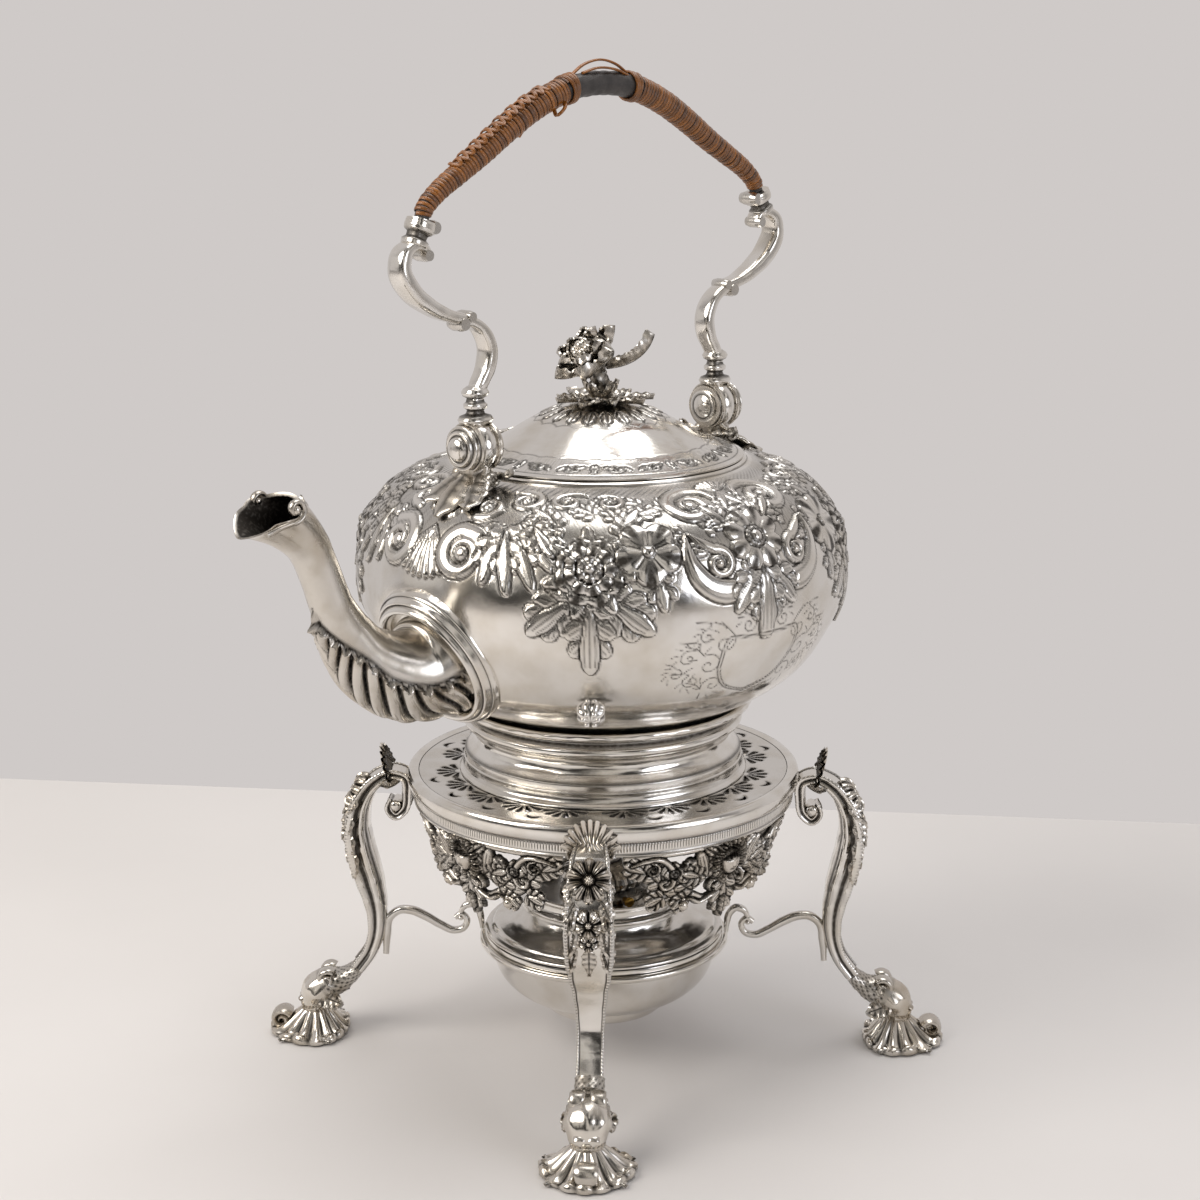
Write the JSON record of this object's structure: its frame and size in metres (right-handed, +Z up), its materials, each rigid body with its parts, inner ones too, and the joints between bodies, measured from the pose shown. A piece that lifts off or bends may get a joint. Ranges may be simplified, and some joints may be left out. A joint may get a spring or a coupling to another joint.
{
  "type": "silver kettle on lampstand",
  "caption": "Round silver kettle with hinged domed lid, scroll spout and swing handle, lifting off a pierced stand with cabriole legs and a spirit lamp.",
  "frame": {"origin": "on the table under the stand's axis", "axes": "+Z up; -Y towards the front leg; +X towards the right leg; the spout points to the front left"},
  "size_m": [0.2662, 0.2662, 0.378],
  "materials": {
    "silver": "polished silver",
    "shaded_silver": "cast silver with darker hollows",
    "brass": "worn brass",
    "grip": "grey bare core",
    "cane": "varnished cane",
    "cotton": "cotton wick"
  },
  "bodies": {
    "stand": {"stand_plate": "silver", "stand_rim": "silver", "stand_collar": "silver", "leg_front": "silver", "leg_shell_front": "silver", "dolphin_front": "silver", "foot_front": "silver", "lamp_arm_front": "silver", "leg_right": "silver", "leg_shell_right": "silver", "dolphin_right": "silver", "foot_right": "silver", "lamp_arm_right": "silver", "leg_back": "silver", "leg_shell_back": "silver", "dolphin_back": "silver", "foot_back": "silver", "lamp_arm_back": "silver", "leg_left": "silver", "leg_shell_left": "silver", "dolphin_left": "silver", "foot_left": "silver", "lamp_arm_left": "silver", "apron_front_right": "shaded_silver", "apron_back_right": "shaded_silver", "apron_back_left": "shaded_silver", "apron_front_left": "shaded_silver", "lamp_ring": "silver"},
    "lamp": {"lamp_bowl": "silver", "lamp_top": "silver", "lamp_burner": "silver", "lamp_wick": "cotton", "lamp_brass_pin": "brass"},
    "kettle": {"kettle_body": "silver", "kettle_foot": "silver", "foot_lug_front": "silver", "foot_lug_back": "silver", "spout": "silver", "spout_collar": "silver", "lid_hinge_seat": "silver", "lid_hinge_pin": "silver", "handle_bracket_front": "silver", "handle_pin_front": "silver", "handle_bracket_back": "silver", "handle_pin_back": "silver"},
    "lid": {"lid": "silver", "lid_hinge_strap": "silver", "finial_leaves": "silver", "finial_stem": "silver", "finial_blossom": "silver"},
    "handle": {"handle_arm_front": "silver", "cane_winding_front": "cane", "handle_arm_back": "silver", "cane_winding_back": "cane", "handle_core": "grip", "cane_strand": "cane"}
  },
  "joints": [
    {"name": "kettle_lift", "type": "slide", "parent": "stand", "child": "kettle", "axis": [0, 0, 1], "range_m": [0, 0.06]},
    {"name": "lamp_lift", "type": "slide", "parent": "stand", "child": "lamp", "axis": [0, 0, 1], "range_m": [0, 0.02]},
    {"name": "lid_hinge", "type": "hinge", "parent": "kettle", "child": "lid", "pos_m": [-0.04102, 0.03694, 0.23446], "axis": [-0.6691, -0.7431, 0], "range_deg": [0, 100]},
    {"name": "handle_swing", "type": "hinge", "parent": "kettle", "child": "handle", "pos_m": [0, 0, 0.2446], "axis": [0.6691, 0.7431, 0], "range_deg": [-90, 90]}
  ]
}
